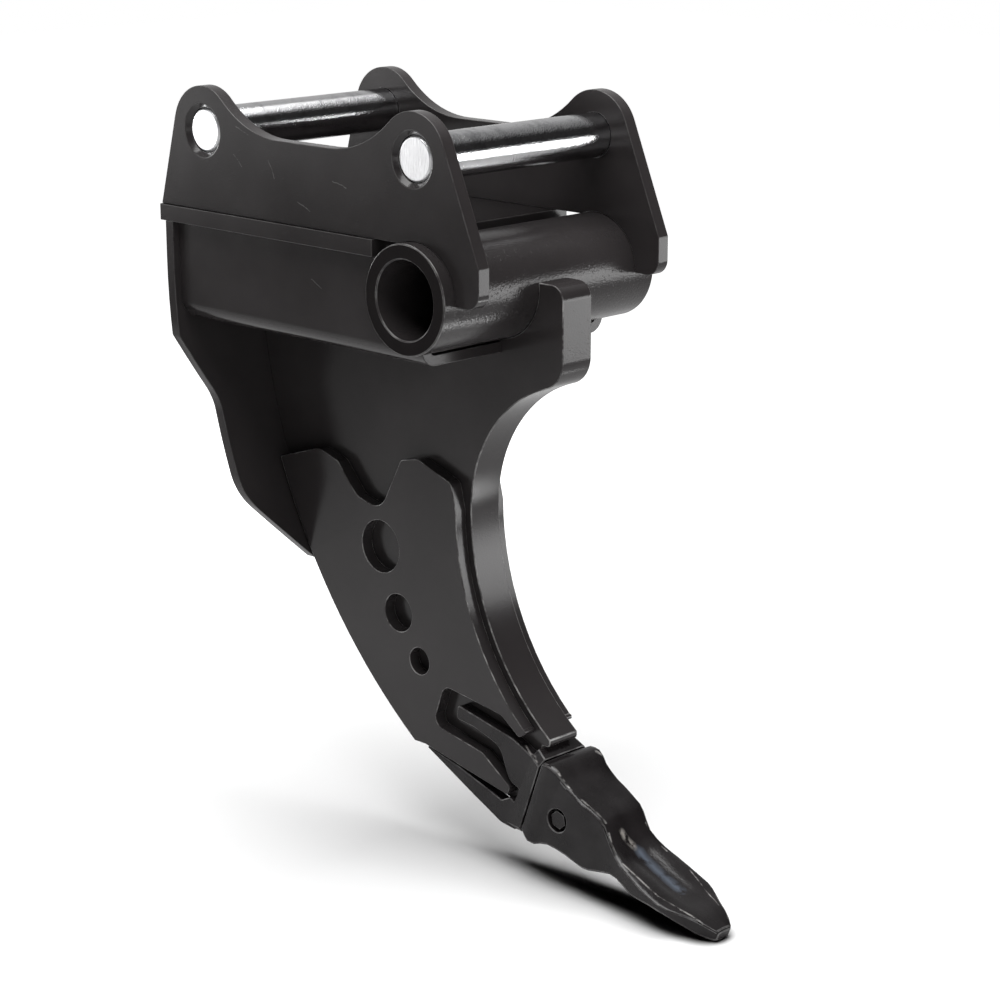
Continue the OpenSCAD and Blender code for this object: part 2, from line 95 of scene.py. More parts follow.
def skin(node, edge, materials, segments=3, crease=30):
    """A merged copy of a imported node, as a plain mesh.

    Its sharp edges are broken and take the last material.
    """
    mesh = bpy.data.meshes.new(node + "_skin")
    work = bmesh.new()
    work.from_mesh(frame["nodes"][node].data)
    bmesh.ops.remove_doubles(work, verts=work.verts[:], dist=MERGE_DISTANCE)
    bmesh.ops.dissolve_limit(
        work, angle_limit=math.radians(FLAT_DEGREES), verts=work.verts[:], edges=work.edges[:]
    )
    for face in work.faces:
        face.smooth = True
        face.material_index = 0
    work.to_mesh(mesh)
    work.free()
    for material in materials:
        mesh.materials.append(material)
    piece = bpy.data.objects.new(node + "_skin", mesh)
    scene.collection.objects.link(piece)
    broken = piece.modifiers.new("broken_edge", "BEVEL")
    broken.width = edge
    broken.segments = segments
    broken.limit_method = "ANGLE"
    broken.angle_limit = math.radians(crease)
    broken.use_clamp_overlap = False
    broken.material = len(materials) - 1
    flat = piece.modifiers.new("flat_faces", "WEIGHTED_NORMAL")
    flat.keep_sharp = True
    depsgraph = bpy.context.evaluated_depsgraph_get()
    done = bpy.data.meshes.new_from_object(piece.evaluated_get(depsgraph), depsgraph=depsgraph)
    piece.modifiers.clear()
    piece.data = done
    return piece


def add(tree, kind, inputs=None, **settings):
    """One node with its settings, its values and its links."""
    node = tree.nodes.new(kind)
    for key, value in settings.items():
        setattr(node, key, value)
    for key, value in (inputs or {}).items():
        if isinstance(value, bpy.types.NodeSocket):
            tree.links.new(value, node.inputs[key])
        else:
            node.inputs[key].default_value = value
    return node


def new_group(name, ins, outs):
    """An empty shader group with named sockets: its tree, its inputs and its output node."""
    tree = bpy.data.node_groups.new(name, "ShaderNodeTree")
    for socket, kind, value in ins:
        made = tree.interface.new_socket(socket, in_out="INPUT", socket_type=kind)
        if value is not None:
            made.default_value = value
    for socket, kind in outs:
        tree.interface.new_socket(socket, in_out="OUTPUT", socket_type=kind)
    return tree, tree.nodes.new("NodeGroupInput").outputs, tree.nodes.new("NodeGroupOutput")


def make_paint_grain():
    """Sprayed paint: a fine peel, slow patches of tone and a few specks of grit."""
    tree, given, out = new_group(
        "paint_grain",
        [("Vector", "NodeSocketVector", None), ("Peel", "NodeSocketFloat", 700.0),
         ("Patch", "NodeSocketFloat", 9.0)],
        [("Height", "NodeSocketFloat"), ("Tone", "NodeSocketFloat"), ("Rough", "NodeSocketFloat")],
    )
    peel = add(
        tree, "ShaderNodeTexNoise",
        {"Vector": given["Vector"], "Scale": given["Peel"], "Detail": 2.0},
    )
    patch = add(
        tree, "ShaderNodeTexNoise",
        {"Vector": given["Vector"], "Scale": given["Patch"], "Detail": 5.0},
    )
    grit = add(
        tree, "ShaderNodeTexNoise",
        {"Vector": given["Vector"], "Scale": 260.0, "Detail": 3.0},
    )
    specks = add(
        tree, "ShaderNodeMapRange",
        {"Value": grit.outputs["Fac"], "From Min": 0.62, "From Max": 0.78},
    )
    height = add(
        tree, "ShaderNodeMath",
        {0: specks.outputs["Result"], 1: 0.8, 2: peel.outputs["Fac"]},
        operation="MULTIPLY_ADD",
    )
    tone = add(
        tree, "ShaderNodeMapRange",
        {"Value": patch.outputs["Fac"], "From Min": 0.35, "From Max": 0.68},
    )
    rough = add(
        tree, "ShaderNodeMath",
        {0: patch.outputs["Fac"], 1: peel.outputs["Fac"]},
        operation="MULTIPLY",
    )
    tree.links.new(height.outputs[0], out.inputs["Height"])
    tree.links.new(tone.outputs["Result"], out.inputs["Tone"])
    tree.links.new(rough.outputs[0], out.inputs["Rough"])
    return tree


def make_scratch_and_streak():
    """One thin line between two points, a little wavy and broken up, for scratches and painted
    streaks.
    """
    tree, given, out = new_group(
        "scratch",
        [("Vector", "NodeSocketVector", None), ("From", "NodeSocketVector", None),
         ("To", "NodeSocketVector", None), ("Width", "NodeSocketFloat", 0.0008),
         ("Gaps", "NodeSocketFloat", SCRATCH_GAPS)],
        [("Mask", "NodeSocketFloat")],
    )
    wave = add(
        tree, "ShaderNodeTexNoise",
        {"Vector": given["Vector"], "Scale": 55.0, "Detail": 2.0},
    )
    centred = add(
        tree, "ShaderNodeVectorMath",
        {0: wave.outputs["Color"], 1: (0.5, 0.5, 0.5)},
        operation="SUBTRACT",
    )
    sway = add(
        tree, "ShaderNodeVectorMath",
        {0: centred.outputs[0], 1: (0.008, 0.0, 0.008)},
        operation="MULTIPLY",
    )
    bent = add(
        tree, "ShaderNodeVectorMath",
        {0: given["Vector"], 1: sway.outputs[0]},
        operation="ADD",
    )
    reach = add(
        tree, "ShaderNodeVectorMath",
        {0: bent.outputs[0], 1: given["From"]},
        operation="SUBTRACT",
    )
    run = add(
        tree, "ShaderNodeVectorMath",
        {0: given["To"], 1: given["From"]},
        operation="SUBTRACT",
    )
    along = add(
        tree, "ShaderNodeVectorMath",
        {0: reach.outputs[0], 1: run.outputs[0]},
        operation="DOT_PRODUCT",
    )
    square = add(
        tree, "ShaderNodeVectorMath",
        {0: run.outputs[0], 1: run.outputs[0]},
        operation="DOT_PRODUCT",
    )
    share = add(
        tree, "ShaderNodeMath",
        {0: along.outputs["Value"], 1: square.outputs["Value"]},
        operation="DIVIDE", use_clamp=True,
    )
    foot = add(
        tree, "ShaderNodeVectorMath",
        {0: run.outputs[0], "Scale": share.outputs[0]},
        operation="SCALE",
    )
    off = add(
        tree, "ShaderNodeVectorMath",
        {0: reach.outputs[0], 1: foot.outputs[0]},
        operation="DISTANCE",
    )
    near = add(
        tree, "ShaderNodeMapRange",
        {"Value": off.outputs["Value"], "From Min": 0.0, "From Max": given["Width"],
         "To Min": 1.0, "To Max": 0.0},
    )
    gaps = add(
        tree, "ShaderNodeTexNoise",
        {"Vector": given["Vector"], "Scale": given["Gaps"], "Detail": 4.0},
    )
    broken = add(
        tree, "ShaderNodeMapRange",
        {"Value": gaps.outputs["Fac"], "From Min": 0.35, "From Max": 0.52},
    )
    mask = add(
        tree, "ShaderNodeMath",
        {0: near.outputs["Result"], 1: broken.outputs["Result"]},
        operation="MULTIPLY",
    )
    tree.links.new(mask.outputs[0], out.inputs["Mask"])
    return tree


paint_grain = make_paint_grain()
# This group draws scratches in the plate paint, and painted highlight and reflection streaks on
# the cast paint.
scratch = make_scratch_and_streak()


def scratched_and_streaked(tree, place, shown, start, end, width, gaps, line_colour):
    """A colour with one line over it: metal showing for a scratch, painted light for a streak."""
    line = add(tree, "ShaderNodeGroup", node_tree=scratch)
    tree.links.new(place, line.inputs["Vector"])
    line.inputs["From"].default_value = start
    line.inputs["To"].default_value = end
    line.inputs["Width"].default_value = width
    line.inputs["Gaps"].default_value = gaps
    over = add(tree, "ShaderNodeMix", {"Factor": line.outputs["Mask"]}, data_type="RGBA")
    tree.links.new(shown, over.inputs["A"])
    over.inputs["B"].default_value = line_colour
    return over.outputs["Result"]


def satin_black(name, scratches=(), peel=520.0, bump=0.06, sheen=0.3, shade=1.0):
    """Satin black paint over plate, with scratches where they are named."""
    material = bpy.data.materials.new(name)
    material.use_nodes = True
    tree = material.node_tree
    shader = tree.nodes["Principled BSDF"]
    shader.inputs["Specular IOR Level"].default_value = sheen
    place = add(tree, "ShaderNodeTexCoord").outputs["Object"]
    grain = add(tree, "ShaderNodeGroup", node_tree=paint_grain)
    tree.links.new(place, grain.inputs["Vector"])
    grain.inputs["Peel"].default_value = peel
    colour = add(tree, "ShaderNodeMix", data_type="RGBA")
    tree.links.new(grain.outputs["Tone"], colour.inputs["Factor"])
    # A shade below 1 darkens both paint colours; it is used for painted shade.
    colour.inputs["A"].default_value = [shade * part for part in PAINT_BLACK[:3]] + [1]
    colour.inputs["B"].default_value = [shade * part for part in PAINT_GREY[:3]] + [1]
    shown = colour.outputs["Result"]
    for start, end, width in scratches:
        shown = scratched_and_streaked(tree, place, shown, start, end, width, SCRATCH_GAPS, SCRATCH_GREY)
    tree.links.new(shown, shader.inputs["Base Color"])
    rough = add(
        tree, "ShaderNodeMapRange",
        {"Value": grain.outputs["Rough"], "From Min": 0.1, "From Max": 0.45,
         "To Min": 0.14, "To Max": 0.22},
    )
    tree.links.new(rough.outputs["Result"], shader.inputs["Roughness"])
    relief = add(
        tree, "ShaderNodeBump",
        {"Height": grain.outputs["Height"], "Strength": bump, "Distance": 0.001},
    )
    tree.links.new(relief.outputs["Normal"], shader.inputs["Normal"])
    return material


def painted_edge_highlight(name, bright):
    """Painted highlight along an edge: a lighter grey in uneven lengths."""
    material = bpy.data.materials.new(name)
    material.use_nodes = True
    tree = material.node_tree
    shader = tree.nodes["Principled BSDF"]
    shader.inputs["Specular IOR Level"].default_value = 0.3
    place = add(tree, "ShaderNodeTexCoord").outputs["Object"]
    rub = add(
        tree, "ShaderNodeTexNoise",
        {"Vector": place, "Scale": 45.0, "Detail": 5.0, "Roughness": 0.65},
    )
    shown = add(
        tree, "ShaderNodeMapRange",
        {"Value": rub.outputs["Fac"], "From Min": 0.42, "From Max": 0.66},
    )
    colour = add(tree, "ShaderNodeMix", {"Factor": shown.outputs["Result"]}, data_type="RGBA")
    colour.inputs["A"].default_value = PAINT_GREY
    colour.inputs["B"].default_value = bright
    tree.links.new(colour.outputs["Result"], shader.inputs["Base Color"])
    rough = add(
        tree, "ShaderNodeMapRange",
        {"Value": rub.outputs["Fac"], "To Min": 0.2, "To Max": 0.42},
    )
    tree.links.new(rough.outputs["Result"], shader.inputs["Roughness"])
    return material


def fit(piece, node):
    """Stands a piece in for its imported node."""
    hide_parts(node)
    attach(piece, "root")


# The plates' broken edges carry a painted highlight, a lighter grey in uneven lengths.
plate_paint = satin_black("plate_paint")
plate_edge_highlight = painted_edge_highlight("plate_edge_highlight", EDGE_HIGHLIGHT_GREY)
for node, lines in (("right_ear", EAR_SCRATCHES), ("left_ear", ())):
    face_paint = satin_black(node + "_paint", lines) if lines else plate_paint
    fit(skin(node, EAR_EDGE, (face_paint, plate_edge_highlight), crease=EAR_CREASE), node)


# Hitch pins: two 50 mm bars, ground bright, that pass through both ears.
# Plain steel with a chamfer on each end; the ends keep the marks of facing and
# the bearing surface has a little dull speckle from handling.
PIN_EDGE = 0.0006
PIN_END_TILT = 0.3
PIN_STEEL = (0.6, 0.6, 0.61, 1)
PIN_DULL = (0.36, 0.36, 0.37, 1)
FACED_STEEL = (0.78, 0.78, 0.79, 1)
FACED_DULL = (0.62, 0.62, 0.63, 1)


def ground_steel(name):
    """Bright ground bar: fine lines round the bar and cloudy dull speckle."""
    material = bpy.data.materials.new(name)
    material.use_nodes = True
    tree = material.node_tree
    shader = tree.nodes["Principled BSDF"]
    place = add(tree, "ShaderNodeTexCoord").outputs["Object"]
    shader.inputs["Metallic"].default_value = 1.0
    turned = add(tree, "ShaderNodeMapping", {"Vector": place, "Scale": (20.0, 900.0, 20.0)})
    lines = add(
        tree, "ShaderNodeTexNoise",
        {"Vector": turned.outputs["Vector"], "Scale": 1.0, "Detail": 3.0},
    )
    cloud = add(
        tree, "ShaderNodeTexNoise",
        {"Vector": place, "Scale": 38.0, "Detail": 6.0, "Roughness": 0.7},
    )
    dull = add(
        tree, "ShaderNodeMapRange",
        {"Value": cloud.outputs["Fac"], "From Min": 0.5, "From Max": 0.72},
    )
    colour = add(tree, "ShaderNodeMix", data_type="RGBA")
    tree.links.new(dull.outputs["Result"], colour.inputs["Factor"])
    colour.inputs["A"].default_value = PIN_STEEL
    colour.inputs["B"].default_value = PIN_DULL
    tree.links.new(colour.outputs["Result"], shader.inputs["Base Color"])
    rough = add(
        tree, "ShaderNodeMapRange",
        {"Value": cloud.outputs["Fac"], "From Min": 0.3, "From Max": 0.7,
         "To Min": 0.05, "To Max": 0.11},
    )
    tree.links.new(rough.outputs["Result"], shader.inputs["Roughness"])
    grit = add(tree, "ShaderNodeTexNoise", {"Vector": place, "Scale": 560.0, "Detail": 2.0})
    height = add(
        tree, "ShaderNodeMath",
        {0: lines.outputs["Fac"], 1: 0.35, 2: grit.outputs["Fac"]},
        operation="MULTIPLY_ADD",
    )
    relief = add(
        tree, "ShaderNodeBump",
        {"Height": height.outputs[0], "Strength": 0.24, "Distance": 0.001},
    )
    tree.links.new(relief.outputs["Normal"], shader.inputs["Normal"])
    return material


def faced_steel(name):
    """Faced pin end: pale steel with fine scratches across it."""
    material = bpy.data.materials.new(name)
    material.use_nodes = True
    tree = material.node_tree
    shader = tree.nodes["Principled BSDF"]
    place = add(tree, "ShaderNodeTexCoord").outputs["Object"]
    shader.inputs["Metallic"].default_value = 1.0
    turned = add(
        tree, "ShaderNodeMapping",
        {"Vector": place, "Rotation": (0.0, 1.25, 0.0), "Scale": (800.0, 1.0, 90.0)},
    )
    lines = add(
        tree, "ShaderNodeTexNoise",
        {"Vector": turned.outputs["Vector"], "Scale": 1.0, "Detail": 4.0},
    )
    crossed = add(
        tree, "ShaderNodeMapping",
        {"Vector": place, "Rotation": (0.0, 0.75, 0.0), "Scale": (600.0, 1.0, 60.0)},
    )
    marks = add(
        tree, "ShaderNodeTexNoise",
        {"Vector": crossed.outputs["Vector"], "Scale": 1.0, "Detail": 3.0},
    )
    both = add(
        tree, "ShaderNodeMath",
        {0: lines.outputs["Fac"], 1: marks.outputs["Fac"]},
        operation="MAXIMUM",
    )
    bright = add(
        tree, "ShaderNodeMapRange",
        {"Value": both.outputs[0], "From Min": 0.42, "From Max": 0.66},
    )
    colour = add(tree, "ShaderNodeMix", {"Factor": bright.outputs["Result"]}, data_type="RGBA")
    colour.inputs["A"].default_value = FACED_DULL
    colour.inputs["B"].default_value = FACED_STEEL
    tree.links.new(colour.outputs["Result"], shader.inputs["Base Color"])
    rough = add(
        tree, "ShaderNodeMapRange",
        {"Value": lines.outputs["Fac"], "To Min": 0.3, "To Max": 0.5},
    )
    tree.links.new(rough.outputs["Result"], shader.inputs["Roughness"])
    relief = add(
        tree, "ShaderNodeBump",
        {"Height": lines.outputs["Fac"], "Strength": 0.15, "Distance": 0.001},
    )
    tree.links.new(relief.outputs["Normal"], shader.inputs["Normal"])
    return material


pin_bar = ground_steel("pin_bar_steel")
pin_end = faced_steel("pin_end_steel")
for node in ("front_pin", "rear_pin"):
    bar = skin(node, PIN_EDGE, (pin_bar, pin_end), segments=2)
    for face in bar.data.polygons:
        face.material_index = 1 if abs(face.normal.y) > PIN_END_TILT else 0
    fit(bar, node)


# Cross tube: thick walled tube across the headstock under the front pin, used for
# lifting. Cut square with chamfered ends and welded to the ears, deck and panels;
# the paint on the round is coarser, so that highlights break up at their borders.
TUBE_EDGE = 0.0007
TUBE_CREASE = 25
TUBE_END_TILT = 0.95
# The rim grey is a pale painted highlight on the tube's broken edges.
RIM_HIGHLIGHT_GREY = (0.16, 0.158, 0.155, 1)
tube_paint = satin_black("tube_paint", peel=430.0, bump=0.28)
# The tube's end faces get a darker, duller copy of the paint: painted shade.
tube_end_painted_shade = satin_black("tube_end_paint", sheen=0.02, shade=0.55)
rim_edge_highlight = painted_edge_highlight("rim_edge_highlight", RIM_HIGHLIGHT_GREY)
tube_coats = (tube_paint, tube_end_painted_shade, rim_edge_highlight)
tube = skin("cross_tube", TUBE_EDGE, tube_coats, segments=2, crease=TUBE_CREASE)
for face in tube.data.polygons:
    if abs(face.normal.y) > TUBE_END_TILT:
        face.material_index = 1
fit(tube, "cross_tube")


# Deck plate: a flat plate under the ears, welded to them all round.
# Sawn plate with lightly ground edges; its top gets darker, duller paint as painted shade.
DECK_EDGE = 0.0009
DECK_TOP_TILT = 0.95
deck_top_painted_shade = satin_black("deck_top_paint", sheen=0.05, shade=0.35)
deck = skin("deck_plate", DECK_EDGE, (plate_paint, deck_top_painted_shade, plate_edge_highlight))
for face in deck.data.polygons:
    if face.normal.z > DECK_TOP_TILT:
        face.material_index = 1
fit(deck, "deck_plate")


# Back plate: rolled plate that closes the rear of the box and tapers to the shank.
# Cut to outline, rolled to the shank's curve and welded along its inner edges.
BACK_EDGE = 0.0009
fit(skin("back_plate", BACK_EDGE, (plate_paint, plate_edge_highlight)), "back_plate")


# Side panels: pressed plates between the deck, the back plate and the tube, turned
# in along the bottom to meet the shank. The right one has a single light scratch.
PANEL_EDGE = 0.0009
PANEL_SCRATCHES = [((-0.1678, -0.142, -0.1489), (-0.1516, -0.142, -0.1545), 0.0006)]
for node, lines in (("right_side_panel", PANEL_SCRATCHES), ("left_side_panel", ())):
    face_paint = satin_black(node + "_paint", lines) if lines else plate_paint
    fit(skin(node, PANEL_EDGE, (face_paint, plate_edge_highlight)), node)


# Shank: the thick curved plate that rips, with a horn in front of the tube.
# Flame cut from 45 mm wear plate, edges ground and painted; its broken edges carry a
# brighter painted highlight, but not at the rear, where the back plate is welded on.
SHANK_EDGE = 0.0012
SHANK_WELDED = -0.28
SHANK_HIGHLIGHT_GREY = (0.24, 0.237, 0.233, 1)
shank_paint = satin_black("shank_paint", peel=600.0, bump=0.09)
shank_edge_highlight = painted_edge_highlight("shank_edge_highlight", SHANK_HIGHLIGHT_GREY)
shank = skin("shank", SHANK_EDGE, (shank_paint, shank_edge_highlight))
for face in shank.data.polygons:
    if face.center.x < SHANK_WELDED:
        face.material_index = 0
fit(shank, "shank")


# Cheek plates: a stiffener on each side of the shank, with three holes for plug
# welds and a long slot at the lower end. Flame cut, ground and painted.
CHEEK_EDGE = 0.0009
# Their broken edges carry the same brighter painted highlight as the shank's.
for node in ("right_cheek", "left_cheek"):
    fit(skin(node, CHEEK_EDGE, (plate_paint, shank_edge_highlight)), node)


# Adapter: cast fork that hugs the shank's end and carries the tooth on its nose.
# Sand cast steel, ground at the parting line, welded to the cheeks and painted.
ADAPTER_EDGE = 0.0012
CAST_BLACK = (0.0098, 0.0084, 0.0088, 1)
CAST_GREY = (0.0172, 0.0152, 0.0158, 1)
# The cast edge grey is a painted highlight on the cast parts' broken edges.
CAST_EDGE_HIGHLIGHT_GREY = (0.12, 0.118, 0.118, 1)
# Painted highlights: two pale streaks along the adapter's near top corner.
CORNER_HIGHLIGHT_GREY = (0.26, 0.25, 0.24, 1)
ADAPTER_STREAKS = [
    ((0.0535, -0.0302, -0.6640), (0.0660, -0.0352, -0.6698), 0.0022, 160.0, CORNER_HIGHLIGHT_GREY),
    ((0.0663, -0.0330, -0.6699), (0.0780, -0.0375, -0.6756), 0.0018, 160.0, CORNER_HIGHLIGHT_GREY),
]


def cast_black(name, streaks=()):
    """Gloss black paint over a cast surface, with named streaks of painted highlight and
    reflection; one is partly paint wear.
    """
    material = bpy.data.materials.new(name)
    material.use_nodes = True
    tree = material.node_tree
    shader = tree.nodes["Principled BSDF"]
    shader.inputs["Specular IOR Level"].default_value = 0.24
    place = add(tree, "ShaderNodeTexCoord").outputs["Object"]
    grain = add(tree, "ShaderNodeGroup", node_tree=paint_grain)
    tree.links.new(place, grain.inputs["Vector"])
    grain.inputs["Peel"].default_value = 330.0
    grain.inputs["Patch"].default_value = 30.0
    colour = add(tree, "ShaderNodeMix", data_type="RGBA")
    tree.links.new(grain.outputs["Tone"], colour.inputs["Factor"])
    colour.inputs["A"].default_value = CAST_BLACK
    colour.inputs["B"].default_value = CAST_GREY
    shown = colour.outputs["Result"]
    for start, end, width, gaps, streak_tone in streaks:
        shown = scratched_and_streaked(tree, place, shown, start, end, width, gaps, streak_tone)
    tree.links.new(shown, shader.inputs["Base Color"])
    rough = add(
        tree, "ShaderNodeMapRange",
        {"Value": grain.outputs["Rough"], "From Min": 0.1, "From Max": 0.45,
         "To Min": 0.15, "To Max": 0.27},
    )
    tree.links.new(rough.outputs["Result"], shader.inputs["Roughness"])
    hollow = add(tree, "ShaderNodeTexNoise", {"Vector": place, "Scale": 60.0, "Detail": 3.0})
    height = add(
        tree, "ShaderNodeMath",
        {0: hollow.outputs["Fac"], 1: 1.6, 2: grain.outputs["Height"]},
        operation="MULTIPLY_ADD",
    )
    relief = add(
        tree, "ShaderNodeBump",
        {"Height": height.outputs[0], "Strength": 0.16, "Distance": 0.001},
    )
    tree.links.new(relief.outputs["Normal"], shader.inputs["Normal"])
    return material


cast_paint = cast_black("cast_paint")
cast_edge_highlight = painted_edge_highlight("cast_edge_highlight", CAST_EDGE_HIGHLIGHT_GREY)
adapter_paint = cast_black("adapter_paint", ADAPTER_STREAKS)
fit(skin("adapter", ADAPTER_EDGE, (adapter_paint, cast_edge_highlight)), "adapter")


# Tooth: cast rock tooth that slides on the adapter's nose. Cast alloy steel with
# rounded ridges and a hollow down its top, painted black like the rest. Streaks add a
# painted bluish reflection down the hollow, a pale spot there that is part worn paint and
# part painted highlight, and painted highlights along the ridges.
TOOTH_EDGE = 0.0012
TOOTH_CREASE = 26
PALE_WEAR_AND_HIGHLIGHT = (0.3, 0.28, 0.26, 1)
REFLECTION_BLUE = (0.095, 0.112, 0.142, 1)
RIDGE_HIGHLIGHT_GREY = (0.32, 0.31, 0.3, 1)
# The blue streak is a painted reflection, the ridge streaks painted highlights, the pale one part
# wear and part painted highlight.
TOOTH_STREAKS = [
    ((0.1965, 0.0025, -0.7594), (0.2562, 0.0028, -0.7876), 0.0085, 75.0, REFLECTION_BLUE),
    ((0.1810, -0.0103, -0.7365), (0.1912, -0.0016, -0.7538), 0.0060, 120.0, PALE_WEAR_AND_HIGHLIGHT),
    ((0.1031, -0.0372, -0.6750), (0.1267, -0.0347, -0.6952), 0.0024, 160.0, RIDGE_HIGHLIGHT_GREY),
    ((0.1411, -0.0323, -0.7037), (0.1736, -0.0285, -0.7227), 0.0019, 160.0, RIDGE_HIGHLIGHT_GREY),
    ((0.1797, -0.0302, -0.7333), (0.1939, -0.0342, -0.7538), 0.0022, 160.0, RIDGE_HIGHLIGHT_GREY),
    ((0.2039, -0.0338, -0.7604), (0.2537, -0.0325, -0.7832), 0.0015, 160.0, RIDGE_HIGHLIGHT_GREY),
    ((0.2537, -0.0325, -0.7832), (0.3056, -0.0198, -0.8025), 0.0017, 160.0, RIDGE_HIGHLIGHT_GREY),
    ((0.1818, 0.0286, -0.7370), (0.2102, 0.0321, -0.7631), 0.0018, 160.0, RIDGE_HIGHLIGHT_GREY),
    ((0.2406, 0.0360, -0.7778), (0.3125, 0.0155, -0.8058), 0.0013, 160.0, RIDGE_HIGHLIGHT_GREY),
    ((0.1030, 0.0330, -0.6742), (0.1085, 0.0372, -0.6795), 0.0030, 160.0, RIDGE_HIGHLIGHT_GREY),
]
tooth_paint = cast_black("tooth_paint", TOOTH_STREAKS)
fit(skin("tooth", TOOTH_EDGE, (tooth_paint, cast_edge_highlight), crease=TOOTH_CREASE), "tooth")


# Tooth pin and its ring: a steel pin with hexagonal ends driven through the tooth
# and the nose, kept by a rubber ring that sits between the two.
LOCK_EDGE = 0.0007
RING_EDGE = 0.0005
RUBBER_BLACK = (0.012, 0.012, 0.013, 1)
RUBBER_GREY = (0.024, 0.024, 0.025, 1)
fit(skin("tooth_pin", LOCK_EDGE, (cast_paint, cast_edge_highlight)), "tooth_pin")
ring_rubber = bpy.data.materials.new("ring_rubber")
ring_rubber.use_nodes = True
rubber_tree = ring_rubber.node_tree
rubber_place = add(rubber_tree, "ShaderNodeTexCoord").outputs["Object"]
rubber_bloom = add(
    rubber_tree, "ShaderNodeTexNoise",
    {"Vector": rubber_place, "Scale": 160.0, "Detail": 4.0},
)
rubber_tone = add(
    rubber_tree, "ShaderNodeMix",
    {"Factor": rubber_bloom.outputs["Fac"]},
    data_type="RGBA",
)
rubber_tone.inputs["A"].default_value = RUBBER_BLACK
rubber_tone.inputs["B"].default_value = RUBBER_GREY
rubber_shader = rubber_tree.nodes["Principled BSDF"]
rubber_tree.links.new(rubber_tone.outputs["Result"], rubber_shader.inputs["Base Color"])
rubber_shader.inputs["Roughness"].default_value = 0.7
fit(skin("pin_retainer", RING_EDGE, (ring_rubber,)), "pin_retainer")


# Floor and light: a pale studio floor under the tooth's tip, with the shadow below the
# tooth deepened in the floor's colour. Soft boxes stand overhead, on the right and in
# front, a low light at the rear left, and one box is there only for the rear pin.
GROUND_GAP = 0.0005
FLOOR_HALF = 9.0
FLOOR_WHITE = (0.95, 0.95, 0.95, 1)
FLOOR_NEAR = 0.98
FLOOR_FAR = 2.0
FLOOR_SHADED = (0.74, 0.74, 0.74, 1)
HORIZON_NEAR = 4.8
HORIZON_FAR = 8.5
HORIZON_GLOW = 1.6
ground = cad_box[0].z - GROUND_GAP
# Painted shadow: along a strip under the tooth the floor's colour goes to near black.
CONTACT_FROM = Vector((0.03, 0.006, ground))
CONTACT_WAY = Vector((0.265, -0.008, 0.0))
CONTACT_RUN = CONTACT_WAY / CONTACT_WAY.length_squared
CONTACT_CORE = 0.008
CONTACT_RIM = 0.040
CONTACT_TAPER = 0.024
CONTACT_TAPER_END = 0.6
CONTACT_SHADOW_BLACK = (0.05, 0.05, 0.05, 1)
SKY_BANDS = ((0.0, 1.0), (0.06, 0.6), (0.15, 0.03), (0.58, 0.03), (0.68, 0.3))
SKY_TOP = (0.4, 0.4, 0.4, 1)
SKY_LEFT = (0.55, 0.55, 0.55, 1)
SKY_LEFT_FROM = 0.05
SKY_LEFT_TO = -0.4
SKY_AMBIENT = (0.004, 0.004, 0.004, 1)
WHITE = (1, 1, 1, 1)
floor_mesh = bpy.data.meshes.new("floor")
corners = [(-FLOOR_HALF, -FLOOR_HALF, ground), (FLOOR_HALF, -FLOOR_HALF, ground),
           (FLOOR_HALF, FLOOR_HALF, ground), (-FLOOR_HALF, FLOOR_HALF, ground)]
floor_mesh.from_pydata(corners, [], [(0, 1, 2, 3)])
floor = bpy.data.objects.new("floor", floor_mesh)
scene.collection.objects.link(floor)
floor_paint = bpy.data.materials.new("floor_white")
floor_paint.use_nodes = True
floor_tree = floor_paint.node_tree
floor_shader = floor_tree.nodes["Principled BSDF"]
floor_shader.inputs["Roughness"].default_value = 0.9
floor_shader.inputs["Specular IOR Level"].default_value = 0.0
floor_path = add(floor_tree, "ShaderNodeLightPath")
# In reflections the floor shows as a shaded grey, and glows far off towards the horizon.
floor_tone = add(
    floor_tree, "ShaderNodeMix",
    {"Factor": floor_path.outputs["Is Glossy Ray"]},
    data_type="RGBA",
)
floor_tone.inputs["A"].default_value = FLOOR_WHITE
floor_tone.inputs["B"].default_value = FLOOR_SHADED
floor_place = add(floor_tree, "ShaderNodeTexCoord").outputs["Object"]
contact_reach = add(
    floor_tree, "ShaderNodeVectorMath",
    {0: floor_place, 1: CONTACT_FROM},
    operation="SUBTRACT",
)
contact_share = add(
    floor_tree, "ShaderNodeVectorMath",
    {0: contact_reach.outputs[0], 1: CONTACT_RUN},
    operation="DOT_PRODUCT",
)
contact_clear = add(
    floor_tree, "ShaderNodeMath",
    {0: contact_share.outputs["Value"], 1: 1.0},
    operation="MULTIPLY", use_clamp=True,
)
contact_foot = add(
    floor_tree, "ShaderNodeVectorMath",
    {0: CONTACT_WAY, "Scale": contact_clear.outputs[0]},
    operation="SCALE",
)
contact_off = add(
    floor_tree, "ShaderNodeVectorMath",
    {0: contact_reach.outputs[0], 1: contact_foot.outputs[0]},
    operation="DISTANCE",
)
contact_thin = add(
    floor_tree, "ShaderNodeMapRange",
    {"Value": contact_clear.outputs[0], "From Max": CONTACT_TAPER_END,
     "To Min": CONTACT_TAPER, "To Max": 0.0},
)
contact_edge = add(
    floor_tree, "ShaderNodeMath",
    {0: contact_off.outputs["Value"], 1: contact_thin.outputs["Result"]},
)
contact_pale = add(
    floor_tree, "ShaderNodeMapRange",
    {"Value": contact_edge.outputs[0], "From Min": CONTACT_CORE, "From Max": CONTACT_RIM},
    interpolation_type="SMOOTHSTEP",
)
